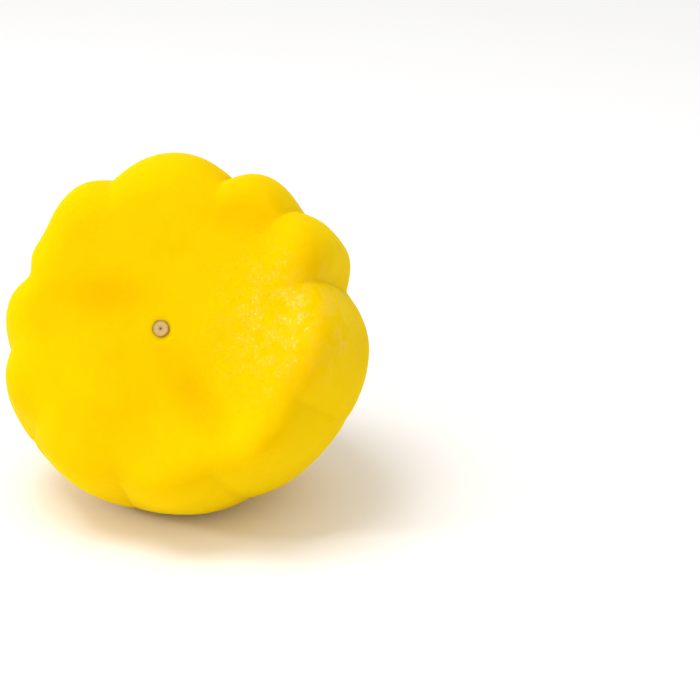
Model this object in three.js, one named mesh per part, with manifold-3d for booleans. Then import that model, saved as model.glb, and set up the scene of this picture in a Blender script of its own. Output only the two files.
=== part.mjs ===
// A yellow pattypan squash, picked and lying on its flank, with the blossom face forward.
// Millimetres, +Z up, blossom face towards -Y, origin under the middle of the object on the surface.
//
// The fruit is made upright in its own frame: +Z runs up the fruit's axis to the stem, z = 0 is the
// scalloped rim, and azimuths turn from +X towards +Y. It is then laid down on its flank, and the patch
// that it rests on is pressed flat.

import * as THREE from 'three';
import { mergeVertices } from 'three/addons/utils/BufferGeometryUtils.js';
import Module from 'manifold-3d';

const wasm = await Module();
wasm.setup();

// ---- driving dimensions -------------------------------------------------------------------------

const BODY_RADIUS = 56.5;       // widest radius of the smooth body, between rim and shoulder
const SEGMENTS_ROUND = 84;
const SEGMENTS_ALONG = 38;

const DECLINATION = 26.5;       // degrees the stem end points below the horizontal
const TURN = 12;                // degrees the blossom face is turned to the left of -Y
const PRESSED_FLAT = 0.8;       // depth of the patch that the fruit lies on

// Half outline of the smooth body as [radius, height] in body radii, from blossom scar to stem seat.
const BODY_OUTLINE = [
  [0, -0.262], [0.2, -0.268], [0.45, -0.287], [0.62, -0.29], [0.76, -0.283], [0.87, -0.23],
  [0.937, -0.12], [0.982, 0.07], [0.999, 0.27], [0.978, 0.4], [0.93, 0.51], [0.84, 0.69],
  [0.755, 0.86], [0.665, 0.975], [0.53, 1.055], [0.36, 1.085], [0.2, 1.05], [0.1, 1], [0, 0.985],
];

// The grooves that divide the rim into lobes: azimuth in degrees, depth on the blossom face, depth on the
// flank, and how far the crest of the lobe that follows stands out from the smooth body.
const GROOVES = [
  [22, 3, 0.7, -1.2], [63, 4, 2.5, -0.9], [100, 3.5, 1.2, 0], [140, 2.5, 0.5, 0],
  [170, 3.5, 3.3, -1.8], [197, 5.5, 5.5, -3.4], [218, 1.5, 0.8, 0], [243, 3.5, 3.3, 0.7],
  [286, 4, 4, 1.1], [312, 1.5, 1.2, 2.4], [339, 2.8, 4, 0.9],
];
const GROOVE_POWER = 10;        // higher gives a sharper crease at the bottom of a groove

// The flank is not quite round: it leans to one side and is a little oval.
const FLANK_LEAN = { azimuth: 146, reach: 2.3 };
const FLANK_OVAL = { azimuth: 8, reach: 2.2 };

// On one side the rim hangs towards the blossom end.
const RIM_DROOP = { azimuth: 28, reach: 7 };

// Broad hollows in the blossom face: azimuth and distance of the middle, half length along `heading`
// (degrees from the radial direction), half width, and depth. A depth below zero is a swelling.
const FACE_HOLLOWS = [
  { azimuth: 55, distance: 25, halfLength: 15, halfWidth: 5.5, heading: -11, depth: 3 },
  { azimuth: 203, distance: 17, halfLength: 13, halfWidth: 7, heading: -15, depth: 2.6 },
  { azimuth: 309, distance: 41, halfLength: 15, halfWidth: 6.5, heading: 72, depth: 2.6 },
  { azimuth: 224, distance: 35, halfLength: 12, halfWidth: 9, heading: 0, depth: 1.4 },
  { azimuth: 281, distance: 23, halfLength: 4, halfWidth: 2.5, heading: 80, depth: 0.4 },
  { azimuth: 130, distance: 30, halfLength: 14, halfWidth: 14, heading: 0, depth: -2.4 },
  { azimuth: 82, distance: 46, halfLength: 8, halfWidth: 10, heading: 0, depth: -2.4 },
  { azimuth: 42, distance: 49, halfLength: 9, halfWidth: 11, heading: 0, depth: -4 },
  { azimuth: 2, distance: 50, halfLength: 9, halfWidth: 14, heading: 0, depth: -4.5 },
  { azimuth: 325, distance: 49, halfLength: 8, halfWidth: 8, heading: 0, depth: -2 },
  { azimuth: 190, distance: 43, halfLength: 8, halfWidth: 7, heading: 0, depth: -0.8 },
];

const STEM_LENGTH = 25;
const STEM_RADIUS = 3.9;        // mean radius half-way up
const STEM_FOOT_RADIUS = 6.4;   // mean radius where it spreads onto the fruit
const STEM_TIP_RADIUS = 4.2;
const STEM_RIDGES = 5;
const STEM_RIDGE_HEIGHT = 0.16; // of the radius, crest above mean
const STEM_BEND = 34;           // degrees between the fruit's axis and the stem's tip
const STEM_BEND_AZIMUTH = 300;
const STEM_CUT_SLOPE = 0.45;    // rise of the cut end across its width
const STEM_SUNK = 3;            // length modelled below the seat, then cut away by the fruit
const STEM_GAP = 0.3;           // clearance between stem and fruit

// ---- helpers ------------------------------------------------------------------------------------

const radians = THREE.MathUtils.degToRad;
const smoothstep = THREE.MathUtils.smoothstep;

/** A closed three.js geometry as a manifold solid. */
function toSolid(geometry) {
  const bare = geometry.clone();
  bare.deleteAttribute('normal');
  bare.deleteAttribute('uv');
  const merged = mergeVertices(bare, 1e-3);
  return new wasm.Manifold(new wasm.Mesh({
    numProp: 3,
    vertProperties: new Float32Array(merged.attributes.position.array),
    triVerts: new Uint32Array(merged.index.array),
  }));
}

/** A manifold solid as a three.js geometry. */
function toGeometry(solid) {
  const mesh = solid.getMesh();
  const geometry = new THREE.BufferGeometry();
  geometry.setAttribute('position', new THREE.BufferAttribute(new Float32Array(mesh.vertProperties), 3));
  geometry.setIndex(new THREE.BufferAttribute(new Uint32Array(mesh.triVerts), 1));
  geometry.computeVertexNormals();
  return geometry;
}

/** Calls move(position, normal) for each vertex and stores what it leaves in position. */
function moveVertices(geometry, move) {
  const positions = geometry.attributes.position;
  const normals = geometry.attributes.normal;
  const position = new THREE.Vector3();
  const normal = new THREE.Vector3();
  for (let i = 0; i < positions.count; i++) {
    position.fromBufferAttribute(positions, i);
    normal.fromBufferAttribute(normals, i);
    move(position, normal);
    positions.setXYZ(i, position.x, position.y, position.z);
  }
  return geometry;
}

// ---- the fruit ----------------------------------------------------------------------------------

/** How far the lobed rim stands out (or in, below zero) at an azimuth in degrees, `onFlank` from 0 to 1. */
function lobeReach(azimuth, onFlank) {
  const turned = (azimuth + 360) % 360;
  const groove = GROOVES.findLast(([start]) => start <= turned) ?? GROOVES.at(-1);
  const next = GROOVES[(GROOVES.indexOf(groove) + 1) % GROOVES.length];
  const span = (next[0] - groove[0] + 360) % 360;
  const share = ((turned - groove[0] + 360) % 360) / span;
  const [, faceDepth, flankDepth] = share < 0.5 ? groove : next;
  const depth = THREE.MathUtils.lerp(faceDepth, flankDepth, onFlank);
  const fromCrest = Math.abs(2 * share - 1);
  const crease = (fromCrest ** 2 - 2 / GROOVE_POWER * fromCrest ** GROOVE_POWER) / (1 - 2 / GROOVE_POWER);
  return groove[3] * (1 - fromCrest ** 2) - depth * crease;
}

/** Share of the lobing that shows at a radius and height in body radii: it fades both ways from the rim. */
function lobeShare(radius, height) {
  if (height < 0.15) return smoothstep(radius, 0.64, 0.96);
  const share = 1 - 0.9 * smoothstep(height, 0.15, 0.95);
  return height < 0.9 ? share : share * smoothstep(radius, 0, 0.6);
}

/** How far the uneven flank stands out at an azimuth in radians. */
function flankReach(azimuth) {
  const lean = FLANK_LEAN.reach * Math.cos(azimuth - radians(FLANK_LEAN.azimuth));
  const oval = FLANK_OVAL.reach * Math.cos(2 * (azimuth - radians(FLANK_OVAL.azimuth)));
  return lean + oval;
}

/** How far the rim hangs towards the blossom end, at an azimuth in radians. */
function rimDroop(azimuth, radius, height) {
  const facing = Math.max(0, Math.cos(azimuth - radians(RIM_DROOP.azimuth)));
  const share = smoothstep(radius, 0.35, 1) * (1 - smoothstep(height, -0.05, 0.7));
  return RIM_DROOP.reach * facing ** 1.5 * share;
}

/** How deep the blossom face is hollowed at a point. */
function faceHollow(x, y) {
  return FACE_HOLLOWS.reduce((sum, hollow) => {
    const azimuth = radians(hollow.azimuth);
    const heading = azimuth + radians(hollow.heading);
    const dx = x - hollow.distance * Math.cos(azimuth);
    const dy = y - hollow.distance * Math.sin(azimuth);
    const along = (dx * Math.cos(heading) + dy * Math.sin(heading)) / hollow.halfLength;
    const across = (dy * Math.cos(heading) - dx * Math.sin(heading)) / hollow.halfWidth;
    return sum + hollow.depth * Math.exp(-(along ** 2) - across ** 2);
  }, 0);
}

/** The whole fruit in its own frame, with its skin moved outwards by `swell`. */
function fruitGeometry(swell = 0) {
  const outline = new THREE.SplineCurve(
    BODY_OUTLINE.map(([radius, height]) => new THREE.Vector2(radius, height).multiplyScalar(BODY_RADIUS)),
  ).getPoints(SEGMENTS_ALONG);
  outline[0].x = 0;
  outline[SEGMENTS_ALONG].x = 0;
  const geometry = new THREE.LatheGeometry(outline, SEGMENTS_ROUND).rotateX(Math.PI / 2);
  return moveVertices(geometry, (position, normal) => {
    const radius = Math.hypot(position.x, position.y) / BODY_RADIUS;
    const height = position.z / BODY_RADIUS;
    const azimuth = Math.atan2(position.y, position.x);
    const onFlank = smoothstep(height, -0.1, 0.3) * smoothstep(radius, 0, 0.5);
    const onFace = 1 - smoothstep(height, -0.12, 0.1);
    const lobes = lobeReach(THREE.MathUtils.radToDeg(azimuth), smoothstep(height, -0.12, 0.18));
    const reach = lobeShare(radius, height) * lobes + onFlank * flankReach(azimuth) + swell;
    const hollow = onFace * faceHollow(position.x, position.y);
    if (radius < 1e-6) normal.set(0, 0, Math.sign(height));
    position.addScaledVector(normal, reach);
    position.z += hollow - rimDroop(azimuth, radius, height);
  });
}

// ---- the stem -----------------------------------------------------------------------------------

/** The ridged cross-section, with a mean radius of 1. */
function stemSection() {
  const corners = Array.from({ length: 6 * STEM_RIDGES }, (_, i) => {
    const angle = (2 * Math.PI * i) / (6 * STEM_RIDGES);
    const wave = Math.cos(STEM_RIDGES * angle);
    const radius = 1 + STEM_RIDGE_HEIGHT * (wave > 0 ? wave ** 1.5 : wave);
    return new THREE.Vector2(radius * Math.cos(angle), radius * Math.sin(angle));
  });
  return new THREE.Shape(corners);
}

/** Mean radius of the stem at a height above its seat. */
function stemRadius(height) {
  const spread = Math.exp(-Math.max(height, 0) / 2.6);
  const toTip = smoothstep(height, 0.5 * STEM_LENGTH, STEM_LENGTH);
  return THREE.MathUtils.lerp(STEM_RADIUS, STEM_TIP_RADIUS, toTip)
    + (STEM_FOOT_RADIUS - STEM_RADIUS) * spread;
}

/** The stem, straight up from z = 0 at first and then bending over, with a slanting cut end. */
function stemGeometry() {
  const steps = 16;
  const full = STEM_LENGTH + STEM_SUNK;
  const bendRadius = STEM_LENGTH / radians(STEM_BEND);
  const geometry = new THREE.ExtrudeGeometry(stemSection(), { depth: full, steps, bevelEnabled: false });
  moveVertices(geometry, (position) => {
    const height = position.z - STEM_SUNK;
    const radius = stemRadius(height);
    const slant = STEM_CUT_SLOPE * radius * position.x * smoothstep(height, 0.4 * STEM_LENGTH, STEM_LENGTH);
    const turned = Math.max(height + slant, 0) / bendRadius;
    const sunk = Math.min(height, 0);
    const out = bendRadius * (1 - Math.cos(turned)) + radius * position.x * Math.cos(turned);
    const up = bendRadius * Math.sin(turned) - radius * position.x * Math.sin(turned) + sunk;
    position.set(out, radius * position.y, up);
  });
  return geometry.rotateZ(radians(STEM_BEND_AZIMUTH));
}

// ---- laying the squash down ---------------------------------------------------------------------

const pose = new THREE.Group();
pose.rotation.set(radians(-(90 + DECLINATION)), 0, radians(-TURN), 'ZYX');
pose.updateMatrix();

const seatHeight = BODY_OUTLINE.at(-1)[1] * BODY_RADIUS;
const fruitShape = fruitGeometry();
const wholeStem = toSolid(stemGeometry().translate(0, 0, seatHeight));
const stemShape = toGeometry(wholeStem.subtract(toSolid(fruitGeometry(STEM_GAP))));

const extent = new THREE.Box3();
for (const shape of [fruitShape, stemShape]) {
  const laidDown = shape.clone().applyMatrix4(pose.matrix);
  extent.union(new THREE.Box3().setFromBufferAttribute(laidDown.attributes.position));
}
const middle = extent.getCenter(new THREE.Vector3());
pose.position.set(-middle.x, -middle.y, -(extent.min.z + PRESSED_FLAT));
pose.updateMatrix();

const slabSize = 6 * BODY_RADIUS;
const surface = new THREE.BoxGeometry(slabSize, slabSize, slabSize)
  .translate(0, 0, -slabSize / 2)
  .applyMatrix4(pose.matrix.clone().invert());
const fruitSolid = toSolid(fruitShape).subtract(toSolid(surface));

const skin = new THREE.MeshStandardMaterial({ color: 0xffd400, roughness: 0.4, metalness: 0 });
const greenStem = new THREE.MeshStandardMaterial({ color: 0x7fa23c, roughness: 0.6, metalness: 0 });

const fruit = new THREE.Mesh(toGeometry(fruitSolid), skin);
fruit.name = 'fruit';
const stem = new THREE.Mesh(stemShape, greenStem);
stem.name = 'stem';

pose.add(fruit, stem);
const squash = new THREE.Group();
squash.add(pose);
export default squash;
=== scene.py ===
"""A ripe yellow pattypan squash lying on its flank on a pale studio floor.

The fruit, its blossom scar and its stem are made upright, in millimetres, in the fruit's own frame. There +Z
runs up the axis to the stem, and z = 0 is the scalloped rim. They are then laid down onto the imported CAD
model.
"""

import math

import bpy
import numpy as np
from mathutils import Matrix, Vector, noise


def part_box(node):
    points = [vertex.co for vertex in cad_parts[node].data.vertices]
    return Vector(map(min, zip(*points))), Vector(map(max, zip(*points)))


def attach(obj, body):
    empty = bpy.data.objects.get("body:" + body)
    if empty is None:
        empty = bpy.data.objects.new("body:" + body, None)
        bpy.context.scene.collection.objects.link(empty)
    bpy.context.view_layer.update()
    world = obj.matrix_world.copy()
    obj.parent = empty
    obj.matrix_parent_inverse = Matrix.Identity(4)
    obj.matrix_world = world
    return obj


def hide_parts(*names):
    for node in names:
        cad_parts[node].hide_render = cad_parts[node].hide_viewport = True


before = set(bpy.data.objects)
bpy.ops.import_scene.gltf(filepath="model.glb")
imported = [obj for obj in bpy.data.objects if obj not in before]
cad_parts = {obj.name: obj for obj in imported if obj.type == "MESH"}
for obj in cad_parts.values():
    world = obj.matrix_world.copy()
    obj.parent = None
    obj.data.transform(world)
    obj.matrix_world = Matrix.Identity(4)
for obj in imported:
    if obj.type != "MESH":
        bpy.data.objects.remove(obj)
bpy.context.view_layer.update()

MM = 0.001

# ---- the fruit's shape, in millimetres and degrees ------------------------------------------------

BODY_RADIUS = 56.5        # widest radius of the smooth body, between rim and shoulder
DECLINATION = 26.5        # how far the stem end points below the horizontal
TURN = 12                 # how far the blossom face is turned to the left
PRESSED_FLAT = 0.8        # depth of the patch that the fruit lies on
RIND_INSET = 0.1          # keeps the fine surface inside the coarser CAD one
RIND_AROUND = 440         # points in a ring of the rind
RIND_ALONG = 208          # rings of the rind, from scar to stem seat

# Half outline of the smooth body as (radius, height) in body radii, from blossom scar to stem seat.
BODY_OUTLINE = (
    (0, -0.262), (0.2, -0.268), (0.45, -0.287), (0.62, -0.29), (0.76, -0.283), (0.87, -0.23),
    (0.937, -0.12), (0.982, 0.07), (0.999, 0.27), (0.978, 0.4), (0.93, 0.51), (0.84, 0.69),
    (0.755, 0.86), (0.665, 0.975), (0.53, 1.055), (0.36, 1.085), (0.2, 1.05), (0.1, 1), (0, 0.985),
)

# The grooves between the lobes of the rim: azimuth, depth on the blossom face, depth on the flank, and how
# far the crest of the lobe that follows stands out.
GROOVES = (
    (22, 3, 0.7, -1.2), (63, 4, 2.5, -0.9), (100, 3.5, 1.2, 0), (140, 2.5, 0.5, 0),
    (170, 3.5, 3.3, -1.8), (197, 5.5, 5.5, -3.4), (218, 1.5, 0.8, 0), (243, 3.5, 3.3, 0.7),
    (286, 4, 4, 1.1), (312, 1.5, 1.2, 2.4), (339, 2.8, 4, 0.9),
)
GROOVE_POWER = 10         # higher gives a sharper crease at the bottom of a groove
CREASE_HALF_WIDTH = 1.3   # of the thin crease at the very bottom of a groove
CREASE_DEPTH = 0.16       # of that crease, as a share of the groove's depth on the blossom face
CLOSER_WITHIN = 2.5       # degrees either side of a groove where the rind's points are closer together
CLOSER_BY = 3             # how many more points there are for each one elsewhere

# The rind's natural unevenness: height and breadth of its broad and its fine swells, and how far the whole
# rind is drawn in to make room for them.
BROAD_SWELL, BROAD_SWELL_SIZE = 0.22, 14
FINE_SWELL, FINE_SWELL_SIZE = 0.07, 5
SWELL_INSET = 0.15

# The ditches round the scar and round the stem's foot: depth, distance out from the edge, and half width.
SCAR_DITCH = (0.3, 0.3, 0.6)
FOOT_DITCH = (0.5, 1, 1.2)

FLANK_LEAN = (146, 2.3)   # azimuth and reach: the flank leans to one side
FLANK_OVAL = (8, 2.2)     # azimuth and reach: and is a little oval

RIM_DROOP = (28, 7)       # azimuth and reach: the rim hangs towards the blossom side on one side

# Broad hollows in the blossom face: azimuth and distance of the middle, half length along the heading (from
# the radial direction), half width, heading and depth. A depth below zero is a swelling.
FACE_HOLLOWS = (
    (55, 25, 15, 5.5, -11, 3),
    (203, 17, 13, 7, -15, 2.6),
    (309, 41, 15, 6.5, 72, 2.6),
    (224, 35, 12, 9, 0, 1.4),
    (281, 23, 4, 2.5, 80, 0.4),
    (130, 30, 14, 14, 0, -2.4),
    (82, 46, 8, 10, 0, -2.4),
    (42, 49, 9, 11, 0, -4),
    (2, 50, 9, 14, 0, -4.5),
    (325, 49, 8, 8, 0, -2),
    (190, 43, 8, 7, 0, -0.8),
)

# Where handling has rubbed the wax smooth, so that it catches the light: middle and spread.
RUBBED_PATCHES = (
    ((38, -5, -20), 15),
    ((-12, -56, 22), 12),
    ((-40, -38, 40), 13),
    ((30, -48, 42), 12),
    ((-52, 24, 26), 13),
)

# ---- the stem and the blossom scar, in millimetres and degrees -----------------------------------

STEM_LENGTH = 25
STEM_RADIUS = 3.9
STEM_FOOT_RADIUS = 6.4
STEM_FOOT_HEIGHT = 2.6    # over which the spread foot narrows to the stalk
STEM_TIP_RADIUS = 4.2
STEM_INSET = 0.97         # keeps the fine ribs inside the coarser CAD stem
STEM_RIDGES = 5
STEM_RIDGE_HEIGHT = 0.16  # as a share of the stem's radius
STEM_TWIST = 0.25         # radians that the ridges turn on their way up
STEM_BEND = 34            # how far the tip has turned from the fruit's axis
STEM_BEND_AZIMUTH = 300
STEM_CUT_SLOPE = 0.45     # rise of the cut end for each millimetre across it
STEM_SUNK = 2             # how far the foot runs on inside the seat
STEM_AROUND = 150
STEM_ALONG = 96

SCAR_RADIUS = 2.6
SCAR_TICKS = 12           # faint rays from the scar's middle to its lip
SCAR_TICK_HEIGHT = 0.05
SCAR_AROUND = 72

# The scar's rings, from its torn edge in: share of the scar's radius, and height above the rind.
SCAR_RINGS = (
    (1.06, -0.5), (1.02, 0.05), (0.97, 0.28), (0.92, 0.36), (0.87, 0.33), (0.8, 0.2), (0.72, 0.14),
    (0.62, 0.13), (0.5, 0.15), (0.38, 0.16), (0.27, 0.14), (0.19, 0.1), (0.13, 0.1), (0.07, 0.14),
)

# The rings of the stem's dried cut end, from its edge in: share of the stem's radius, and height.
CUT_END_RINGS = (
    (0.93, 0.04), (0.84, -0.1), (0.72, -0.22), (0.58, -0.26), (0.42, -0.24), (0.26, -0.3), (0.12, -0.42),
)

# ---- small tools -----------------------------------------------------------------------------------


def linear(hex_colour):
    """An sRGB hex colour such as "#FFD500" as linear RGBA."""
    channels = [int(hex_colour[i:i + 2], 16) / 255 for i in (1, 3, 5)]
    return (*(c / 12.92 if c <= 0.04045 else ((c + 0.055) / 1.055) ** 2.4 for c in channels), 1.0)


def smoothstep(x, low, high):
    """Runs smoothly from 0 below `low` to 1 above `high`."""
    t = np.clip((x - low) / (high - low), 0, 1)
    return t * t * (3 - 2 * t)


def mix(a, b, share):
    """The value that lies a share of the way from a to b."""
    return a + (b - a) * share


def every(millimetres):
    """The scale that repeats a pattern about once in that many millimetres."""
    return 1 / (millimetres * MM)


def wavy(points, size, seed=0):
    """Smooth noise from -1 to 1 at each point, with features about `size` across."""
    offset = Vector((seed * 17.3, seed * 5.1, seed * 9.7))
    return np.array([noise.noise(Vector(p) / size + offset) for p in points.reshape(-1, 3)]) \
        .reshape(points.shape[:-1])


def spline(outline, count):
    """Evenly spaced points along the smooth curve through an outline's points."""
    p = np.asarray(outline, float)
    t = np.linspace(0, len(p) - 1, 40 * len(p))
    i = np.minimum(t.astype(int), len(p) - 2)
    w = (t - i)[:, None]
    before, start, end, after = (p[np.clip(i + k, 0, len(p) - 1)] for k in (-1, 0, 1, 2))
    tangent_in, tangent_out = (end - before) / 2, (after - start) / 2
    curve = (
        (2 * w ** 3 - 3 * w ** 2 + 1) * start + (w ** 3 - 2 * w ** 2 + w) * tangent_in
        + (3 * w ** 2 - 2 * w ** 3) * end + (w ** 3 - w ** 2) * tangent_out
    )
    travelled = np.concatenate([[0], np.cumsum(np.linalg.norm(np.diff(curve, axis=0), axis=1))])
    even = np.linspace(0, travelled[-1], count)
    return np.stack([np.interp(even, travelled, curve[:, k]) for k in (0, 1)], axis=1)


def lathe_faces(rings, around):
    """Quads between `rings` closed rings, with a fan to one point at each end, as vertex indices."""
    faces = []
    for r in range(rings - 1):
        low, high = r * around, (r + 1) * around
        for i in range(around):
            after = (i + 1) % around
            faces.append((low + i, low + after, high + after, high + i))
    first, last, top = rings * around, rings * around + 1, (rings - 1) * around
    faces += [(first, (i + 1) % around, i) for i in range(around)]
    faces += [(last, top + i, top + (i + 1) % around) for i in range(around)]
    return faces


def make_piece(name, points, faces, material, attributes=None):
    """A smooth mesh object from points in metres, with named values stored on its vertices."""
    mesh = bpy.data.meshes.new(name)
    mesh.from_pydata(points.tolist(), [], faces)
    mesh.polygons.foreach_set("use_smooth", [True] * len(mesh.polygons))
    for label, values in (attributes or {}).items():
        mesh.attributes.new(label, "FLOAT", "POINT").data.foreach_set("value", values)
    mesh.materials.append(material)
    mesh.update()
    piece = bpy.data.objects.new(name, mesh)
    bpy.context.scene.collection.objects.link(piece)
    return piece


# ---- the rind --------------------------------------------------------------------------------------


def lobe_reach(azimuth, on_flank):
    """How far the lobed rim stands out (or in, below zero) at azimuths in degrees."""
    starts = np.array([g[0] for g in GROOVES], float)
    index = (np.searchsorted(starts, azimuth % 360, side="right") - 1) % len(GROOVES)
    after = (index + 1) % len(GROOVES)
    table = np.array(GROOVES, float)
    share = ((azimuth - starts[index]) % 360) / ((starts[after] - starts[index]) % 360)
    nearest = np.where(share < 0.5, index, after)
    depth = mix(table[nearest, 1], table[nearest, 2], on_flank)
    from_crest = np.abs(2 * share - 1)
    crease = (from_crest ** 2 - 2 / GROOVE_POWER * from_crest ** GROOVE_POWER) / (1 - 2 / GROOVE_POWER)
    return table[index, 3] * (1 - from_crest ** 2) - depth * crease


def crease_reach(azimuth, radius, height):
    """The thin crease at the bottom of each groove, in millimetres, at radii and heights in body radii."""
    shows = smoothstep(radius, 0.78, 0.97) * (1 - smoothstep(height, 0.1, 0.6))
    deep = np.zeros_like(azimuth)
    for middle, face_depth, *_ in GROOVES:
        away = (azimuth - middle + 180) % 360 - 180
        across = np.radians(away) * BODY_RADIUS / CREASE_HALF_WIDTH
        deep += CREASE_DEPTH * face_depth * np.exp(-across ** 2)
    return -deep * shows


def lobe_share(radius, height):
    """Share of the lobing that shows at a radius and height in body radii. It fades away from the rim."""
    below = smoothstep(radius, 0.64, 0.96)
    above = 1 - 0.9 * smoothstep(height, 0.15, 0.95)
    above = np.where(height < 0.9, above, above * smoothstep(radius, 0, 0.6))
    return np.where(height < 0.15, below, above)


def face_hollow(x, y):
    """How deep the blossom face is hollowed at a point."""
    total = np.zeros_like(x)
    for azimuth, distance, half_length, half_width, heading, depth in FACE_HOLLOWS:
        a, h = math.radians(azimuth), math.radians(azimuth + heading)
        dx, dy = x - distance * math.cos(a), y - distance * math.sin(a)
        along = (dx * math.cos(h) + dy * math.sin(h)) / half_length
        across = (dy * math.cos(h) - dx * math.sin(h)) / half_width
        total += depth * np.exp(-along ** 2 - across ** 2)
    return total


def rind_points(radius, height, tilt_out, tilt_up, azimuth):
    """Surface points of the fruit, from the smooth body's radius, height and outward normal, and azimuth."""
    x, y = radius * np.cos(azimuth), radius * np.sin(azimuth)
    r, h = radius / BODY_RADIUS, height / BODY_RADIUS
    lobes = lobe_share(r, h) * lobe_reach(np.degrees(azimuth), smoothstep(h, -0.12, 0.18))
    lean = FLANK_LEAN[1] * np.cos(azimuth - math.radians(FLANK_LEAN[0]))
    oval = FLANK_OVAL[1] * np.cos(2 * (azimuth - math.radians(FLANK_OVAL[0])))
    on_flank = smoothstep(h, -0.1, 0.3) * smoothstep(r, 0, 0.5)
    reach = lobes + crease_reach(np.degrees(azimuth), r, h) + on_flank * (lean + oval) - RIND_INSET
    hollow = (1 - smoothstep(h, -0.12, 0.1)) * face_hollow(x, y)
    droop = np.maximum(0, np.cos(azimuth - math.radians(RIM_DROOP[0]))) ** 1.5 * RIM_DROOP[1]
    hollow = hollow - droop * smoothstep(r, 0.35, 1) * (1 - smoothstep(h, -0.05, 0.7))
    return np.stack([
        x + reach * tilt_out * np.cos(azimuth),
        y + reach * tilt_out * np.sin(azimuth),
        height + reach * tilt_up + hollow,
    ], axis=-1)


def closer_at_grooves(count):
    """Azimuths right round the fruit, in radians, set closer together at the grooves."""
    degrees = np.linspace(0, 360, 7201)
    density = np.ones_like(degrees)
    for middle, *_ in GROOVES:
        away = (degrees - middle + 180) % 360 - 180
        density += CLOSER_BY * np.exp(-(away / CLOSER_WITHIN) ** 2)
    travelled = np.concatenate([[0], np.cumsum((density[1:] + density[:-1]) / 2)])
    return np.radians(np.interp(np.linspace(0, travelled[-1], count + 1)[:-1], travelled, degrees))


def ditch(from_edge, depth, middle, half_width):
    """How deep a shallow ditch is at distances from the edge that it runs along."""
    return depth * np.exp(-((from_edge - middle) / half_width) ** 2)


def rind_shape():
    """Points, in millimetres in the fruit's own frame, and faces of the whole rind."""
    outline = spline(BODY_OUTLINE, RIND_ALONG + 2) * BODY_RADIUS
    slope = np.gradient(outline, axis=0)
    slope /= np.linalg.norm(slope, axis=1)[:, None]
    tilt_out, tilt_up = slope[:, 1].copy(), -slope[:, 0].copy()
    tilt_out[[0, -1]] = 0
    azimuth = closer_at_grooves(RIND_AROUND)
    columns = [v[:, None] * np.ones(RIND_AROUND) for v in (outline[:, 0], outline[:, 1], tilt_out, tilt_up)]
    grid = rind_points(*columns, azimuth[None, :] * np.ones((RIND_ALONG + 2, 1)))
    flat = np.concatenate([grid[1:-1].reshape(-1, 3), grid[0, :1], grid[-1, :1]])
    swells = BROAD_SWELL * wavy(flat, BROAD_SWELL_SIZE) + FINE_SWELL * wavy(flat, FINE_SWELL_SIZE, 1)
    unevenness = swells - SWELL_INSET
    outward = flat - np.array([0, 0, 0.35 * BODY_RADIUS])
    flat += outward / np.linalg.norm(outward, axis=1)[:, None] * unevenness[:, None]
    from_axis = np.hypot(flat[:, 0], flat[:, 1])
    on_face = flat[:, 2] < 0
    flat[:, 2] += np.where(on_face, ditch(from_axis - SCAR_RADIUS, *SCAR_DITCH), 0)
    flat[:, 2] -= np.where(on_face, 0, ditch(from_axis - STEM_FOOT_RADIUS, *FOOT_DITCH))
    # How deep each point of the face lies in a hollow, kept on the rind to place the painted shade in the
    # hollows.
    hollow = np.where(on_face, np.clip(face_hollow(flat[:, 0], flat[:, 1]) / 3, 0, 1), 0)
    rubbed = sum(np.exp(-((flat - np.array(middle)) ** 2).sum(axis=1) / spread ** 2)
                 for middle, spread in RUBBED_PATCHES)
    return flat, lathe_faces(RIND_ALONG, RIND_AROUND), {"hollow": hollow, "rubbed": np.clip(rubbed, 0, 1)}


def scar_shape(rind):
    """The corky disc that the blossom leaves: a raised lip round a cracked, slightly sunken middle."""
    near = rind[(np.hypot(rind[:, 0], rind[:, 1]) < 5) & (rind[:, 2] < 0)]
    plane = np.linalg.lstsq(np.c_[near[:, :2], np.ones(len(near))], near[:, 2], rcond=None)[0]
    radii, raised = np.array(SCAR_RINGS).T
    radii = SCAR_RADIUS * radii
    angle = np.linspace(0, 2 * math.pi, SCAR_AROUND, endpoint=False)[None, :] * np.ones((len(radii), 1))
    ray = SCAR_TICK_HEIGHT * np.cos(SCAR_TICKS * angle + 1.5 * np.sin(3 * angle)) * (raised > 0)[:, None]
    radius = radii[:, None] * (1 + 0.03 * np.sin(2 * angle + 1) + 0.02 * np.sin(5 * angle))
    x, y = radius * np.cos(angle), radius * np.sin(angle)
    z = plane[0] * x + plane[1] * y + plane[2] - raised[:, None] - ray
    grid = np.stack([x, y, z], axis=-1)
    ends = [(0, 0, plane[2] + 0.5), (0, 0, plane[2] - 0.16)]
    points = np.concatenate([grid.reshape(-1, 3), ends])
    return points, lathe_faces(len(radii), SCAR_AROUND), np.hypot(points[:, 0], points[:, 1]) / SCAR_RADIUS


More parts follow.
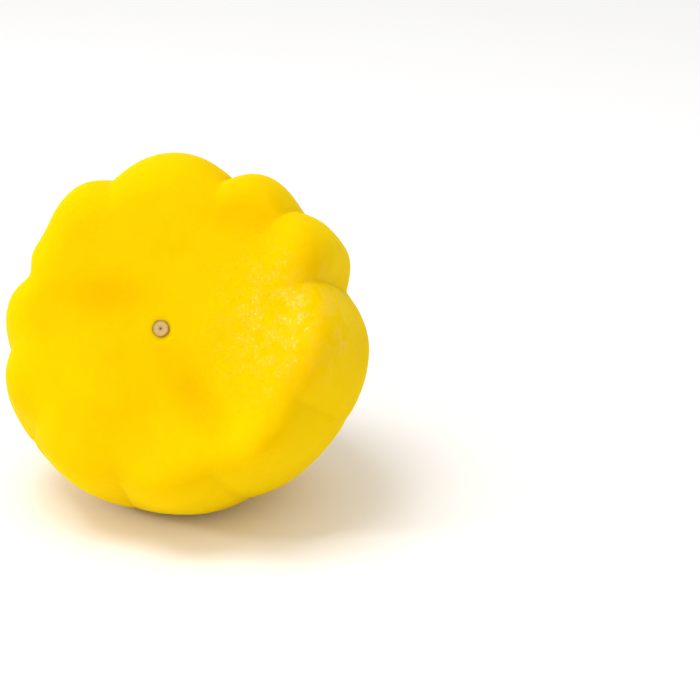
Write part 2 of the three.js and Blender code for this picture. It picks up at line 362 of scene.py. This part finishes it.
def stem_shape():
    """The ridged stem, straight from its seat and then bending over, with its slanting cut end."""
    rise = np.concatenate([np.linspace(-STEM_SUNK, 0, 5)[:-1], np.linspace(0, STEM_LENGTH, STEM_ALONG)])
    cap, sunken = np.array(CUT_END_RINGS).T
    height = np.concatenate([rise, STEM_LENGTH + sunken])[:, None]
    share = np.concatenate([np.ones(len(rise)), cap])[:, None]
    angle = np.linspace(0, 2 * math.pi, STEM_AROUND, endpoint=False)[None, :]
    above = np.maximum(height, 0)
    spread = np.exp(-above / STEM_FOOT_HEIGHT)
    body = STEM_INSET * mix(STEM_RADIUS, STEM_TIP_RADIUS, smoothstep(height, 0.5 * STEM_LENGTH, STEM_LENGTH))
    mean = body + (STEM_FOOT_RADIUS - STEM_RADIUS) * spread
    twist = angle + STEM_TWIST * above / STEM_LENGTH
    wave = np.cos(STEM_RIDGES * twist + 0.35 * np.sin(2 * twist))
    ridge = np.where(wave > 0, np.abs(wave) ** 0.8, -1.15 * np.abs(wave) ** 1.3)
    fine = 0.022 * np.cos(4 * STEM_RIDGES * twist + 1) + 0.012 * np.cos(7 * STEM_RIDGES * twist)
    depth = STEM_RIDGE_HEIGHT * (1 + 0.5 * spread)
    radius = mean * share * (1 + depth * ridge + fine)
    x, y = radius * np.cos(angle), radius * np.sin(angle)
    slant = STEM_CUT_SLOPE * x * smoothstep(height, 0.4 * STEM_LENGTH, STEM_LENGTH)
    bend_radius = STEM_LENGTH / math.radians(STEM_BEND)
    turned = np.maximum(height + slant, 0) / bend_radius
    out = bend_radius * (1 - np.cos(turned)) + x * np.cos(turned)
    up = bend_radius * np.sin(turned) - x * np.sin(turned) + np.minimum(height, 0)
    a = math.radians(STEM_BEND_AZIMUTH)
    grid = np.stack([
        out * math.cos(a) - y * math.sin(a),
        out * math.sin(a) + y * math.cos(a),
        up + BODY_OUTLINE[-1][1] * BODY_RADIUS,
    ], axis=-1)
    points = np.concatenate([grid.reshape(-1, 3), [grid[0].mean(0), grid[-1].mean(0)]])
    rows, columns = grid.shape[:2]
    ridged = np.append((0.5 + 0.5 * wave * np.ones((rows, 1))).reshape(-1), [0.5, 0.5])
    foot = np.append((spread * np.ones((1, columns))).reshape(-1), [1, 0])
    cut = np.append(((1 - share) * np.ones((1, columns))).reshape(-1), [0, 1])
    return points, lathe_faces(rows, columns), {"ridge": ridged, "foot": foot, "cut": cut}


def laying_down(points):
    """The matrix that lays the fruit's own frame, in millimetres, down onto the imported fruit, in metres."""
    lean = Matrix.Rotation(math.radians(-90 - DECLINATION), 4, "X")
    turn = Matrix.Rotation(math.radians(-TURN), 4, "Z") @ lean
    laid = points @ np.array(turn.to_3x3()).T * MM
    low, high = (np.array(corner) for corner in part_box("fruit"))
    place = (low + high) / 2 - (laid.min(0) + laid.max(0)) / 2
    place[2] = -laid[:, 2].min() - (PRESSED_FLAT - RIND_INSET) * MM
    return Matrix.Translation(place) @ turn @ Matrix.Scale(MM, 4)


def apply(matrix, points):
    """The points moved by a matrix."""
    m = np.array(matrix)
    return points @ m[:3, :3].T + m[:3, 3]


# ---- materials -------------------------------------------------------------------------------------


def new_material(name):
    """A new material, its node tree and its shader."""
    material = bpy.data.materials.new(name)
    material.use_nodes = True
    tree = material.node_tree
    return material, tree, tree.nodes["Principled BSDF"]


def set_up(node, settings):
    """Sets a node's properties and inputs by name. An input given another node's output is linked to it."""
    for key, value in settings.items():
        if key == "stops":
            stops = node.color_ramp.elements
            while len(stops) < len(value):
                stops.new(0.5)
            for stop, (position, colour) in zip(stops, value):
                stop.position, stop.color = position, linear(colour)
        elif isinstance(value, bpy.types.NodeSocket):
            node.id_data.links.new(value, node.inputs[key])
        elif hasattr(node, key):
            setattr(node, key, value)
        else:
            node.inputs[key].default_value = value


def add(tree, kind, output, settings):
    """Adds a node with its settings and links, and returns the output that is wanted of it."""
    node = tree.nodes.new("ShaderNode" + kind)
    set_up(node, settings)
    return node.outputs[output]


def waxy_rind():
    """Ripe pattypan rind: thin waxy skin over moist flesh gives a clean deep yellow and a broken sheen."""
    material, tree, skin = new_material("waxy_rind")
    place = add(tree, "TexCoord", "Object", {})
    # The hollow attribute places the painted shade in the face's hollows.
    hollow = add(tree, "Attribute", "Fac", {"attribute_name": "hollow"})
    rubbed = add(tree, "Attribute", "Fac", {"attribute_name": "rubbed"})

    # Slow changes of tone, and painted shade: a darker, more orange tone laid into the hollows of the face,
    # where shade gathers.
    cloud = add(tree, "TexNoise", "Fac", {
        "Scale": every(22), "Detail": 3.0, "Roughness": 0.55, "Vector": place,
    })
    tone = add(tree, "ValToRGB", "Color", {"stops": ((0.3, "#EBC000"), (0.7, "#F0C800")), "Fac": cloud})
    colour = add(tree, "Mix", "Result", {
        "data_type": "RGBA", "Factor": hollow, "A": tone, "B": linear("#EBBC00"),
    })

    # Shallow dimples and ripples all over the skin.
    dimples = add(tree, "TexVoronoi", "Distance", {
        "feature": "SMOOTH_F1", "Scale": every(1.9), "Smoothness": 0.6, "Vector": place,
    })
    ripple = add(tree, "TexNoise", "Fac", {"Scale": every(4.3), "Detail": 4.0, "Vector": place})
    relief = add(tree, "Math", "Value", {
        "operation": "MULTIPLY_ADD", "Value": dimples, "Value_001": 0.7, "Value_002": ripple,
    })
    dimpled = add(tree, "Bump", "Normal", {"Strength": 0.3, "Distance": 0.4 * MM, "Height": relief})

    # Rounded pits in the rubbed wax: each one catches the light as a small pale dot.
    pits = add(tree, "TexVoronoi", "Distance", {"Scale": every(2.2), "Randomness": 1.0, "Vector": place})
    rounded = add(tree, "Math", "Value", {"operation": "POWER", "Value": pits, "Value_001": 2.0})
    pitted = add(tree, "Bump", "Normal", {"Strength": 1.0, "Distance": 0.5 * MM, "Height": rounded})
    worn = add(tree, "TexNoise", "Fac", {"Scale": every(3.8), "Detail": 1.0, "Vector": place})
    spots = add(tree, "MapRange", "Result", {"From Min": 0.42, "From Max": 0.62, "Value": worn})
    polish = add(tree, "Math", "Value", {"operation": "MULTIPLY", "Value": rubbed, "Value_001": spots})

    set_up(skin, {
        "Base Color": colour,
        "Normal": dimpled,
        "Roughness": 0.75,
        "IOR": 1.45,
        "Specular IOR Level": 0.03,
        "Specular Tint": linear("#FFE6A0"),
        "Coat Weight": polish,
        "Coat Normal": pitted,
        "Coat Roughness": 0.22,
        "Coat IOR": 1.35,
        "Subsurface Weight": 0.6,
        "Subsurface Radius": (1.0, 0.45, 0.05),
        "Subsurface Scale": 6 * MM,
    })
    return material


def corky_scar():
    """Dried cork where the blossom dropped: matt pinkish beige, ringed by a darker torn lip."""
    material, tree, cork = new_material("corky_scar")
    place = add(tree, "TexCoord", "Object", {})
    ring = add(tree, "Attribute", "Fac", {"attribute_name": "from_middle"})
    crumbs = add(tree, "TexNoise", "Fac", {"Scale": every(0.7), "Detail": 4.0, "Vector": place})
    ragged = add(tree, "Math", "Value", {
        "operation": "MULTIPLY_ADD", "Value": crumbs, "Value_001": 0.16, "Value_002": ring,
    })
    stops = ((0.12, "#6B5030"), (0.24, "#B89862"), (0.62, "#CBA873"), (0.9, "#BC9A50"), (1.0, "#98781E"))
    tone = add(tree, "ValToRGB", "Color", {"stops": stops, "Fac": ragged})
    crumbly = add(tree, "Bump", "Normal", {"Strength": 0.6, "Distance": 0.2 * MM, "Height": crumbs})
    set_up(cork, {"Base Color": tone, "Normal": crumbly, "Roughness": 0.85})
    return material


def fibrous_stem():
    """Fresh green squash stem: hard fibrous ridges, paler along their crests and darker between them, and a
    dry end.
    """
    material, tree, stalk = new_material("fibrous_stem")
    place = add(tree, "TexCoord", "Object", {})
    ridge = add(tree, "Attribute", "Fac", {"attribute_name": "ridge"})
    foot = add(tree, "Attribute", "Fac", {"attribute_name": "foot"})
    cut = add(tree, "Attribute", "Fac", {"attribute_name": "cut"})
    fibre = add(tree, "TexNoise", "Fac", {
        "Scale": every(1.1), "Detail": 5.0, "Roughness": 0.6, "Vector": place,
    })
    height = add(tree, "Math", "Value", {
        "operation": "MULTIPLY_ADD", "Value": fibre, "Value_001": 0.4, "Value_002": ridge,
    })
    stops = ((0.2, "#3C6410"), (0.55, "#63862A"), (0.9, "#7E9A3E"), (1.0, "#98AA60"))
    tone = add(tree, "ValToRGB", "Color", {"stops": stops, "Fac": height})
    yellowed = add(tree, "Mix", "Result", {
        "data_type": "RGBA", "Factor": foot, "A": tone, "B": linear("#A8A834"),
    })
    end = add(tree, "MapRange", "Result", {"From Min": 0.02, "From Max": 0.2, "Value": cut})
    dried = add(tree, "Mix", "Result", {
        "data_type": "RGBA", "Factor": end, "A": yellowed, "B": linear("#B3AC72"),
    })
    stringy = add(tree, "Bump", "Normal", {"Strength": 0.5, "Distance": 0.3 * MM, "Height": fibre})
    set_up(stalk, {"Base Color": dried, "Normal": stringy, "Roughness": 0.55})
    return material


# ---- the studio ------------------------------------------------------------------------------------

CAMERA_ELEVATION = 22     # degrees above the horizontal
CAMERA_LENS = 100         # millimetres, on a 36 mm sensor
CAMERA_DISTANCE = 0.584   # metres from the rim's middle
CAMERA_ASIDE = 0.0529     # metres that the camera looks to the right of the rim's middle
CAMERA_LOW = 0.0051       # and metres below it
FLOOR_HALF_SIDE = 6.0     # metres
SURROUND_BRIGHTNESS = 0.76


def make_camera(rim_middle):
    """The camera, a little above the fruit and square to the studio."""
    camera = bpy.data.objects.new("camera", bpy.data.cameras.new("camera"))
    camera.data.lens = CAMERA_LENS
    camera.data.sensor_width = 36
    tilt = math.radians(90 - CAMERA_ELEVATION)
    camera.rotation_euler = (tilt, 0, 0)
    backwards = Vector((0, -math.sin(tilt), math.cos(tilt)))
    upwards = Vector((0, math.cos(tilt), math.sin(tilt)))
    aside = Vector((CAMERA_ASIDE, 0, 0))
    camera.location = rim_middle + CAMERA_DISTANCE * backwards + aside - CAMERA_LOW * upwards
    camera.data.clip_start = 0.01
    bpy.context.scene.collection.objects.link(camera)
    bpy.context.scene.camera = camera


def make_light(name, place, target, size, radiance):
    """A square softbox that looks at the target, with its brightness given as radiance."""
    light = bpy.data.lights.new(name, "AREA")
    light.size = size
    light.energy = radiance * math.pi * size ** 2
    lamp = bpy.data.objects.new(name, light)
    lamp.location = place
    lamp.rotation_euler = (Vector(target) - Vector(place)).to_track_quat("-Z", "Y").to_euler()
    bpy.context.scene.collection.objects.link(lamp)


def make_studio():
    """A floor of matt white paint, a plain white surround and two softboxes."""
    material, tree, paint = new_material("pale_studio_floor")
    place = add(tree, "TexCoord", "Object", {})
    grain = add(tree, "TexNoise", "Fac", {"Scale": every(110), "Detail": 2.0, "Vector": place})
    tone = add(tree, "ValToRGB", "Color", {"stops": ((0, "#FBFAF9"), (1, "#FDFCFC")), "Fac": grain})
    set_up(paint, {"Base Color": tone, "Roughness": 0.9, "Specular IOR Level": 0.1})
    side = FLOOR_HALF_SIDE
    corners = np.array([(-side, -side, 0), (side, -side, 0), (side, side, 0), (-side, side, 0)])
    make_piece("studio_floor", corners, [(0, 1, 2, 3)], material)

    world = bpy.data.worlds.new("white_surround")
    world.use_nodes = True
    set_up(world.node_tree.nodes["Background"], {"Color": (1, 1, 1, 1), "Strength": SURROUND_BRIGHTNESS})
    bpy.context.scene.world = world
    bpy.context.scene.view_settings.view_transform = "Standard"

    make_light("overhead_softbox", (-0.3, -0.2, 1.2), (0, 0, 0), 0.6, 5.9)
    make_light("sparkle_softbox", (-0.89, -0.44, 0.6), (0, 0, 0.05), 0.15, 34)


# ---- putting it together -----------------------------------------------------------------------------

rind_points_mm, rind_faces, rind_marks = rind_shape()
lay_down = laying_down(rind_points_mm)
rind_laid = apply(lay_down, rind_points_mm)
rind_laid[:, 2] = np.maximum(rind_laid[:, 2], 0)
rind = make_piece("rind", rind_laid, rind_faces, waxy_rind(), rind_marks)
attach(rind, "root")
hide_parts("fruit")

scar_points, scar_faces, from_middle = scar_shape(rind_points_mm)
scar_laid = apply(lay_down, scar_points)
scar = make_piece("blossom_scar", scar_laid, scar_faces, corky_scar(), {"from_middle": from_middle})
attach(scar, "root")

stem_points, stem_faces, stem_marks = stem_shape()
stem = make_piece("ridged_stem", apply(lay_down, stem_points), stem_faces, fibrous_stem(), stem_marks)
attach(stem, "root")
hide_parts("stem")

make_studio()
make_camera(lay_down.translation)
